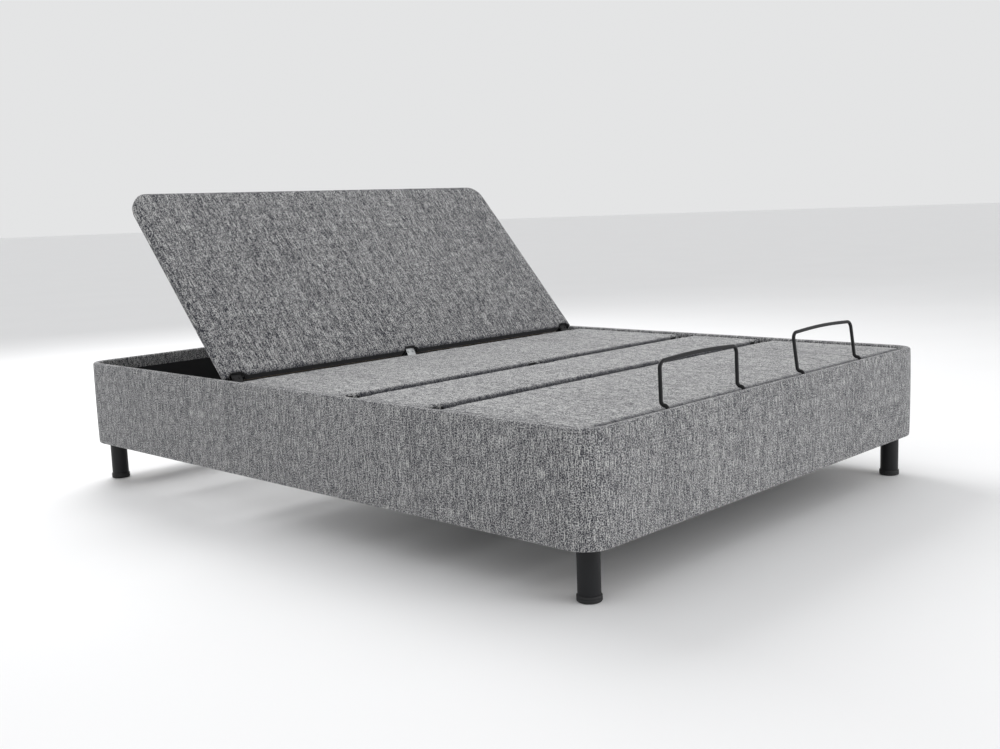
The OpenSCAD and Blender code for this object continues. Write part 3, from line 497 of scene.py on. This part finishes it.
def makeCover():
    stations, shape = boxStations(), coverProfile()
    runs = [0.0]
    for (d0, z0, _), (d1, z1, _) in zip(shape, shape[1:]):
        runs.append(runs[-1] + math.hypot(d1 - d0, z1 - z0))

    def place(column, row):
        here, out, run = stations[column % (len(stations) - 1)]
        depth, height, puff = shape[row]
        soft = boxSet["plump"] * puff
        ridges = noise.noise(Vector((here.x * 9, here.y * 9, height * 3.2)))
        slow = noise.noise(Vector((here.x * 2.3, here.y * 2.3, height * 1.5 + 7)))
        pull = boxSet["ripple"] * puff * (0.6 * ridges + slow)
        spot = here - out * (depth - soft - pull)
        return Vector((spot.x, spot.y, height))

    def cloth(column, row):
        return stations[column][2], runs[row]

    bm = wrapGrid(len(stations) - 1, len(shape) - 1, place, cloth=cloth)
    cover = finishPiece("railCover", bm, boxTweed, "base", 50)
    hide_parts("rail_cover")
    return stations


boxRound = makeCover()


def makeLining():
    # a thin black sheet over the inside of the rails, from the flap to the hem
    low, high = boxLow.z + boxSet["hem"] - 4 * mm, boxHigh.z - boxSet["flap"] + 4 * mm
    depth = boxSet["skin"] - 1.6 * mm
    thick = 0.7 * mm
    shape = [(depth, low), (depth, (low + high) / 2), (depth, high), (depth + thick, high),
             (depth + thick, (low + high) / 2), (depth + thick, low), (depth, low)]

    def place(column, row):
        here, out, _ = boxRound[column % (len(boxRound) - 1)]
        spot = here - out * shape[row][0]
        return Vector((spot.x, spot.y, shape[row][1]))

    bm = wrapGrid(len(boxRound) - 1, len(shape) - 1, place)
    lining = finishPiece("railLining", bm, dustBlack, "base", 50)
    boxRound[-1][2] - 2 * math.pi * depth


makeLining()
print("box upholstered")

# ---- deck sections

deckSet = {
    "pivotY": 263 * mm,
    "pivotZ": 347 * mm,
    "raised": 48.5,
    "edgeX": 727 * mm,
    "low": 339 * mm,
    "top": 369 * mm,
    "notchW": 54 * mm,
    "notchL": 16 * mm,
    "voxel": 6 * mm,
    "crown": 2.2 * mm,
    "edge": 13 * mm,
    "crownReach": 55 * mm,
    "edgeDrop": 0.85,
    "pucker": 0.7 * mm,
    "puckerReach": 26 * mm,
    "dent": 2.2 * mm,
    "dentReach": 15 * mm,
    # how far in from the pads' side rims the painted shade reaches
    "rimShade": 18 * mm,
    "clothInset": 26 * mm,
    "hingeEnds": 690 * mm,
    "headMiddle": -48 * mm,
    "thighMiddle": -8 * mm,
}

headTurn = (Matrix.Translation((0, deckSet["pivotY"], deckSet["pivotZ"]))
            @ Matrix.Rotation(math.radians(deckSet["raised"]), 4, "X")
            @ Matrix.Translation((0, -deckSet["pivotY"], -deckSet["pivotZ"])))
ends = deckSet["hingeEnds"]
headNotches = (-ends, deckSet["headMiddle"], ends)
thighNotches = (-ends, deckSet["thighMiddle"], ends)
kneeNotches = (-ends, ends)
barFeet = []

sections = {
    "head": {"y": (283 * mm, 968 * mm), "low": 6, "high": 68, "body": "head",
             "lowNotch": headNotches, "highNotch": ()},
    "seat": {"y": (-218 * mm, 233 * mm), "low": 6, "high": 6, "body": "base",
             "lowNotch": thighNotches, "highNotch": headNotches},
    "thigh": {"y": (-518 * mm, -254 * mm), "low": 6, "high": 6, "body": "thigh",
              "lowNotch": kneeNotches, "highNotch": thighNotches},
    "foot": {"y": (-981 * mm, -548 * mm), "low": 46, "high": 6, "body": "foot",
             "lowNotch": (), "highNotch": kneeNotches},
}


def sectionPlate(section, inset, notchGrow, low, high):
    # a plate with round corners and its hinge notches
    y0, y1 = section["y"][0] + inset, section["y"][1] - inset
    x1 = deckSet["edgeX"] - inset
    bm = bmesh.new()
    spread = Matrix.Translation((0, (y0 + y1) / 2, low)) @ Matrix.Diagonal((x1, (y1 - y0) / 2, 1, 1))
    bmesh.ops.create_grid(bm, x_segments=1, y_segments=1, size=1, matrix=spread)
    half, deep = deckSet["notchW"] / 2 + notchGrow, deckSet["notchL"] + notchGrow - inset
    cuts = []
    for xs, edge, way in ((section["lowNotch"], y0, 1), (section["highNotch"], y1, -1)):
        for x in xs:
            cuts.append((x, edge, way))
    for x, edge, way in cuts:
        for at, normal in ((Vector((x - half, 0, 0)), (1, 0, 0)), (Vector((x + half, 0, 0)), (1, 0, 0)),
                           (Vector((0, edge + way * deep, 0)), (0, 1, 0))):
            whole = bm.verts[:] + bm.edges[:] + bm.faces[:]
            bmesh.ops.bisect_plane(bm, geom=whole, plane_co=at, plane_no=normal)
    gone = []
    for face in bm.faces:
        middle = face.calc_center_median()
        if any(abs(middle.x - x) < half and 0 < (middle.y - edge) * way < deep for x, edge, way in cuts):
            gone.append(face)
    bmesh.ops.delete(bm, geom=gone, context="FACES")
    bmesh.ops.dissolve_limit(bm, angle_limit=0.01, verts=bm.verts, edges=bm.edges)
    cornerSets = []
    for y, end in ((y0, "low"), (y1, "high")):
        cornerSets.append(([v for v in bm.verts if abs(abs(v.co.x) - x1) < 1e-5 and abs(v.co.y - y) < 1e-5],
                           section[end] * mm - inset))
    for corners, radius in cornerSets:
        bmesh.ops.bevel(bm, geom=corners, offset=max(radius, 2 * mm), affect="VERTICES", segments=8,
                        profile=0.5, material=-1)
    pushed = bmesh.ops.extrude_face_region(bm, geom=bm.faces[:])
    bmesh.ops.translate(bm, verts=[g for g in pushed["geom"] if isinstance(g, bmesh.types.BMVert)],
                        vec=(0, 0, high - low))
    bmesh.ops.recalc_face_normals(bm, faces=bm.faces)
    return bm


def remeshed(bm, voxel, rounds):
    mesh = bpy.data.meshes.new("draft")
    bm.to_mesh(mesh)
    bm.free()
    draft = bpy.data.objects.new("draft", mesh)
    bpy.context.scene.collection.objects.link(draft)
    blocks = draft.modifiers.new("voxels", "REMESH")
    blocks.mode = "VOXEL"
    blocks.voxel_size = voxel
    soften = draft.modifiers.new("soften", "SMOOTH")
    soften.factor = 0.5
    soften.iterations = rounds
    result = bpy.data.meshes.new_from_object(draft.evaluated_get(bpy.context.evaluated_depsgraph_get()))
    bpy.data.objects.remove(draft)
    return result


def padMesh(name, section):
    y0, y1 = section["y"]
    crown, reach = deckSet["crown"], deckSet["crownReach"]
    flat = sectionPlate(section, 0.3 * mm, -1.5 * mm, deckSet["low"] - 0.4 * mm, deckSet["top"] - crown)
    mesh = remeshed(flat, deckSet["voxel"], 3)
    middleZ = (deckSet["low"] + deckSet["top"]) / 2
    places = []
    seed = len(name) * 3.7
    for vert in mesh.vertices:
        x, y, z = vert.co
        inside = min(deckSet["edgeX"] - abs(x), y - y0, y1 - y)
        over = max(0.0, min(1.0, (z - middleZ) / (6 * mm)))
        rise = crown * (1 - math.exp(-max(inside, 0) / reach)) * over
        near = math.exp(-max(inside, 0) / deckSet["puckerReach"]) * over
        waves = noise.noise(Vector((x * 17 + seed, y * 17, 0)))
        slow = noise.noise(Vector((x * 3.1, y * 3.1 + seed, 2)))
        if inside < deckSet["edge"]:
            part = 1 - max(inside, 0) / deckSet["edge"]
            rise -= deckSet["edge"] * deckSet["edgeDrop"] * (1 - math.sqrt(max(0, 1 - part * part))) * over
        rise += deckSet["pucker"] * (near * waves + 0.8 * slow * over * min(1, inside / reach))
        for fx, fy in barFeet if name == "foot" else ():
            gap = math.hypot(x - fx, y - fy)
            rise -= deckSet["dent"] * over * math.exp(-(gap / deckSet["dentReach"]) ** 2)
        vert.co = (x, y, min(z + rise, deckSet["top"] + 1 * mm))
        places.append((x, y, z))
    mesh.attributes.new("clothPlace", "FLOAT_VECTOR", "POINT")
    # painted shade: a per-point value, highest at the side rims, the foot end and the joints between
    # sections, that darkens the cloth colour there
    mesh.attributes.new("crease", "FLOAT", "POINT")
    for item, dark, place in zip(mesh.attributes["clothPlace"].data, mesh.attributes["crease"].data, places):
        item.vector = place
        joint = min(place[1] - y0, y1 - place[1])
        rim = deckSet["edgeX"] - abs(place[0]) if name != "head" else 1
        if name == "foot":
            rim = min(rim, place[1] - y0)
        shade = max(1.25 - joint / (deckSet["edge"] * 0.75), 1.2 - rim / deckSet["rimShade"])
        dark.value = max(0.0, min(1.0, shade))
    return mesh


def makeSection(name, section):
    mesh = padMesh(name, section)
    edgeFaces = []
    if name == "head":
        hingeSide = section["y"][0] + 30 * mm
        edgeFaces = [p.index for p in mesh.polygons if p.normal.y < -0.62 and p.center.y < hingeSide]
        mesh.transform(headTurn)
    tweedUsed = headTweedPaintedShade if name == "head" else deckTweedPaintedLight
    pad = meshPiece(name + "Upholstery", mesh, tweedUsed, section["body"], 0)
    if edgeFaces:
        mesh.materials.append(dustBlack)
        for number in edgeFaces:
            mesh.polygons[number].material_index = 1
    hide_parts(name + "_pad")
    inset = deckSet["clothInset"]
    cloth = sectionPlate(section, inset, 2 * mm, deckSet["low"] - 0.9 * mm, deckSet["low"] - 0.5 * mm)
    if name == "head":
        cloth.transform(headTurn)
    area = sum(f.calc_area() for f in cloth.faces) / 2
    under = finishPiece(name + "DustCloth", cloth, dustBlack, section["body"], 30)
    width, length = 2 * (deckSet["edgeX"] - inset), section["y"][1] - section["y"][0] - 2 * inset
    name + "_board"
    min(area, width * length)


# ---- mattress retainer bars

barSet = {
    "x": (-292 * mm, 292 * mm),
    "lean": (1.5, 8.0),
    "wide": 305 * mm,
    "thick": 9 * mm,
    "top": 475 * mm,
    "bend": 17 * mm,
    "bow": 4 * mm,
    "legY": -970 * mm,
    "dropGap": 2 * mm,
    "riseGap": 1.3 * mm,
    "hook": 60 * mm,
}


def arcPoints(centre, first, second, a0, a1, count):
    # points round a centre, from angle a0 to a1, first and second being the two directions
    turns = [math.radians(a0 + (a1 - a0) * k / count) for k in range(count + 1)]
    return [centre + first * math.cos(a) + second * math.sin(a) for a in turns]


def barPath(x, lean):
    half, r = barSet["wide"] / 2, barSet["thick"] / 2
    footEnd = sections["foot"]["y"][0]
    dropY = footEnd - r - barSet["dropGap"]
    bend = (barSet["legY"] - dropY) / 2
    hookZ, stepZ = deckSet["low"] - r - 0.2 * mm, deckSet["top"] + r + barSet["riseGap"]
    back, up, across = Vector((0, 1, 0)), Vector((0, 0, 1)), Vector((1, 0, 0))
    side = []
    side += [Vector((half, dropY + bend + barSet["hook"], hookZ))]
    side += arcPoints(Vector((half, dropY + bend, hookZ + bend)), back * bend, up * bend, -90, -180, 6)
    side += arcPoints(Vector((half, dropY + bend, stepZ - bend)), back * bend, up * bend, 180, 90, 6)
    side += arcPoints(Vector((half, dropY + bend, stepZ + bend)), back * bend, up * bend, -90, -lean, 6)
    a = math.radians(lean)
    leaned = Vector((0, math.sin(a), math.cos(a)))
    base = Vector((half, dropY + bend * (1 + math.cos(a)), stepZ + bend * (1 - math.sin(a))))
    rise = (barSet["top"] - r - base.z) / math.cos(a) - barSet["bend"]
    corner = base + leaned * rise - across * barSet["bend"]
    side += [base + leaned * rise * t for t in (0.33, 0.66)]
    side += arcPoints(corner, across * barSet["bend"], leaned * barSet["bend"], 0, 90, 8)
    other = [Vector((-p.x, p.y, p.z)) for p in reversed(side)]
    end, start = side[-1], other[0]
    middle = []
    for k in range(1, 14):
        t = k / 14
        middle.append(end.lerp(start, t) + leaned * barSet["bow"] * math.sin(math.pi * t))
    return [p + across * x for p in side + middle + other]


def makeBar(name, node, x, lean):
    bm = bmesh.new()
    path = barPath(x, lean)
    addTube(bm, path, barSet["thick"] / 2, 16)
    bmesh.ops.recalc_face_normals(bm, faces=bm.faces)
    bar = finishPiece(name, bm, barPaint, "foot", 60)
    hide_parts(node)


for barX in barSet["x"]:
    for leg in (-1, 1):
        barFeet.append((barX + leg * barSet["wide"] / 2, barSet["legY"]))
for sectionName, sectionFacts in sections.items():
    makeSection(sectionName, sectionFacts)
print("sections upholstered")
makeBar("retainerBarLeft", "retainer_bar_left", barSet["x"][0], barSet["lean"][0])
makeBar("retainerBarRight", "retainer_bar_right", barSet["x"][1], barSet["lean"][1])
print("bars bent")

# ---- black trim in the hinge notches

trimSet = {"thick": 1.6 * mm, "round": 7 * mm, "lowGap": 0.5 * mm, "highGap": 8 * mm}


def addNotchTrim(bm, x, edge, way):
    # a strip bent round the notch, standing a little proud of the cloth
    half, deep = deckSet["notchW"] / 2, deckSet["notchL"]
    t = trimSet["thick"]
    low, high = deckSet["low"] + trimSet["lowGap"], deckSet["top"] - trimSet["highGap"]
    r = trimSet["round"]
    inner = [Vector((x - half, edge, 0))]
    inner += [Vector((x - half + r - r * math.cos(a), edge + way * (deep - r + r * math.sin(a)), 0))
              for a in (math.pi / 2 * k / 6 for k in range(7))]
    inner += [Vector((x + half - r + r * math.sin(a), edge + way * (deep - r + r * math.cos(a)), 0))
              for a in (math.pi / 2 * k / 6 for k in range(7))]
    inner += [Vector((x + half, edge, 0))]
    strip = [bm.verts.new((p.x, p.y, low)) for p in inner]
    edges = [bm.edges.new(pair) for pair in zip(strip, strip[1:])]
    walls = bmesh.ops.extrude_edge_only(bm, edges=edges)
    bmesh.ops.translate(bm, verts=[g for g in walls["geom"] if isinstance(g, bmesh.types.BMVert)],
                        vec=(0, 0, high - low))
    faces = [g for g in walls["geom"] if isinstance(g, bmesh.types.BMFace)]
    bmesh.ops.recalc_face_normals(bm, faces=faces)
    bmesh.ops.solidify(bm, geom=faces, thickness=t)


def makeTrims():
    for name, section in sections.items():
        bm = bmesh.new()
        for x in section["lowNotch"]:
            addNotchTrim(bm, x, section["y"][0], 1)
        for x in section["highNotch"]:
            addNotchTrim(bm, x, section["y"][1], -1)
        bmesh.ops.recalc_face_normals(bm, faces=bm.faces)
        if name == "head":
            bm.transform(headTurn)
        trim = finishPiece(name + "NotchTrim", bm, trimBlack, section["body"], 40)


makeTrims()

# ---- plates that show in the head section's notches

plateSet = {
    "wide": 33 * mm,
    "thick": 2.4 * mm,
    "from": 266 * mm,
    "to": 297 * mm,
    "low": 351 * mm,
    "rise": 7 * mm,
    "shift": 2 * mm,
    "edge": 0.5 * mm,
    "screwX": 9 * mm,
    "screwBack": 11 * mm,
    "screwRadius": 3.4 * mm,
}


def makeHingePlates():
    for spot, x in zip(("Left", "Middle", "Right"), headNotches):
        bm = bmesh.new()
        half, t = plateSet["wide"] / 2, plateSet["thick"]
        bmesh.ops.create_grid(bm, x_segments=1, y_segments=4, size=1, matrix=Matrix.Translation(
            (x, (plateSet["from"] + plateSet["to"]) / 2, plateSet["low"]))
            @ Matrix.Diagonal((half, (plateSet["to"] - plateSet["from"]) / 2, 1, 1)))
        for vert in bm.verts:
            along = (vert.co.y - plateSet["from"]) / (plateSet["to"] - plateSet["from"])
            vert.co.z += plateSet["rise"] * along ** 0.7
            vert.co.x += plateSet["shift"] * along
        bmesh.ops.solidify(bm, geom=bm.faces[:], thickness=t)
        bmesh.ops.recalc_face_normals(bm, faces=bm.faces)
        outer = [e for e in bm.edges if len(e.link_faces) == 2 and e.calc_face_angle() > 1.2]
        bmesh.ops.bevel(bm, geom=outer, offset=plateSet["edge"], affect="EDGES", segments=2, profile=0.5,
                        material=-1)
        for sx in (-1, 1):
            screwPlace = Vector((x + sx * plateSet["screwX"], plateSet["to"] - plateSet["screwBack"],
                            plateSet["low"] + plateSet["rise"] * 0.8))
            addScrew(bm, screwPlace, (0, -0.15, 1), plateSet["screwRadius"])
        bm.transform(headTurn)
        paint, slot = (zincPlate, "zinc_plate") if spot == "Middle" else (hingePaint, "hinge_black")
        plate = finishPiece("headHingePlate" + spot, bm, paint, "head", 40)


makeHingePlates()

# ---- legs

legSet = {
    "x": 690 * mm,
    "y": 959 * mm,
    "radius": 25 * mm,
    "capRadius": 27.5 * mm,
    "capTop": 15 * mm,
    "top": 130 * mm,
}


def spun(bm, profile, centre, steps=56):
    # a closed round shape from (radius, height) points
    verts = [bm.verts.new((centre[0] + r, centre[1], z)) for r, z in profile]
    edges = [bm.edges.new(pair) for pair in zip(verts, verts[1:])]
    bmesh.ops.spin(bm, geom=verts + edges, cent=(*centre, 0), axis=(0, 0, 1), angle=2 * math.pi, steps=steps,
                   use_merge=True)


def makeLegs():
    tubes, caps = bmesh.new(), bmesh.new()
    r, c, capTop = legSet["radius"], legSet["capRadius"], legSet["capTop"]
    tube = [(0, capTop - 3 * mm), (r - 0.6 * mm, capTop - 3 * mm), (r, capTop - 2.4 * mm),
            (r, capTop + 30 * mm), (r, 108 * mm), (r, 117.2 * mm), (r + 3.5 * mm, 117.4 * mm),
            (r + 4 * mm, 118.4 * mm), (r + 4 * mm, 129 * mm), (r, legSet["top"]), (0, legSet["top"])]
    cap = [(0, 0), (c - 4 * mm, 0), (c - 1.5 * mm, 0.8 * mm), (c - 0.3 * mm, 2.4 * mm), (c, 4 * mm),
           (c, 9 * mm), (c - 0.9 * mm, 9.6 * mm), (c - 0.9 * mm, 10.6 * mm), (c - 0.1 * mm, 11.2 * mm),
           (c - 0.1 * mm, 13.6 * mm), (c - 1.2 * mm, capTop), (r + 0.3 * mm, capTop),
           (r - 3 * mm, capTop - 1 * mm), (0, capTop - 1 * mm)]
    for sx in (-1, 1):
        for sy in (-1, 1):
            centre = (sx * legSet["x"], sy * legSet["y"])
            spun(tubes, tube, centre)
            spun(caps, cap, centre)
    for bm in (tubes, caps):
        bmesh.ops.remove_doubles(bm, verts=bm.verts, dist=0.00001)
        bmesh.ops.recalc_face_normals(bm, faces=bm.faces)
    legTubes = finishPiece("legTubes", tubes, legPaint, "base", 40)
    legFeet = finishPiece("legFeet", caps, capRubber, "base", 40)
    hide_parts("legs")
    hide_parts("leg_caps")


makeLegs()
print("legs turned")

# ---- finishes of the steel, boards, gear and electrics

finishes = {
    "side_rails": boardWood, "end_rails": boardWood, "rail_corners": boardWood, "corner_blocks": boardWood,
    "seat_board": boardWood, "head_board": boardWood, "thigh_board": boardWood, "foot_board": boardWood,
    "seat_hinge_leaves": hingePaint, "head_hinge_leaves": headHinge, "thigh_hinge_leaves": hingePaint,
    "knee_hinge_leaves": hingePaint, "foot_hinge_leaves": hingePaint,
    "seat_hinge_pins": brightSteel, "knee_hinge_pins": brightSteel, "actuator_bracket_pins": brightSteel,
    "head_crank_pin": brightSteel, "thigh_crank_pin": brightSteel,
    "head_actuator_rod": brightSteel, "thigh_actuator_rod": brightSteel,
    "head_tracks": zincPlate, "thigh_tracks": zincPlate,
    "control_box": boxPlastic, "power_supply": boxPlastic,
    "head_actuator_housing": boxPlastic, "thigh_actuator_housing": boxPlastic,
    "power_lead": leadSheath, "motor_leads": leadSheath,
}


def dressNodes():
    for name, node in nodes.items():
        if node.hide_render:
            continue
        finish = finishes.get(name, nylonWhite if "roller_l" in name or "roller_r" in name else framePaint)
        node.data.materials.clear()
        node.data.materials.append(finish)


dressNodes()
print("finishes given")

# ---- floor and light

lightSet = {
    "world": 0.80,
    "floor": (0.88, 0.88, 0.885),
    "lamps": (
        {"place": (0.9, 2.9, 3.3), "aim": (0, -0.5, 0.3), "size": 3.2, "power": 150},
        {"place": (1.4, -5.2, 1.5), "aim": (0, -1.0, 0.25), "size": 2.4, "power": 60},
    ),
}


def makeStage():
    bm = bmesh.new()
    bmesh.ops.create_circle(bm, cap_ends=True, segments=96, radius=60)
    mesh = bpy.data.meshes.new("floor")
    bm.to_mesh(mesh)
    bm.free()
    paint = Paint("floorPaint", Roughness=0.65, Specular_IOR_Level=0.25)
    cloud = paint.noise(paint.place(), 1.4, 3.0, 0.5)
    mesh.materials.append(paint.give(Base_Color=paint.mix(paint.span(cloud, 0.3, 0.7), lightSet["floor"],
                                                          tuple(c * 0.985 for c in lightSet["floor"]))))
    floor = bpy.data.objects.new("floor", mesh)
    bpy.context.scene.collection.objects.link(floor)
    world = bpy.data.worlds.new("studio")
    world.use_nodes = True
    world.node_tree.nodes["Background"].inputs["Color"].default_value = (0.97, 0.975, 0.98, 1)
    world.node_tree.nodes["Background"].inputs["Strength"].default_value = lightSet["world"]
    bpy.context.scene.world = world
    bpy.context.scene.view_settings.view_transform = "Standard"
    for number, lamp in enumerate(lightSet["lamps"]):
        light = bpy.data.lights.new(f"lamp{number}", "AREA")
        light.size = lamp["size"]
        light.energy = lamp["power"]
        shown = bpy.data.objects.new(f"lamp{number}", light)
        bpy.context.scene.collection.objects.link(shown)
        aim = Vector(lamp["aim"]) - Vector(lamp["place"])
        facing = aim.to_track_quat("-Z", "Y").to_matrix().to_4x4()
        shown.matrix_world = Matrix.Translation(lamp["place"]) @ facing


makeStage()
print("stage lit")
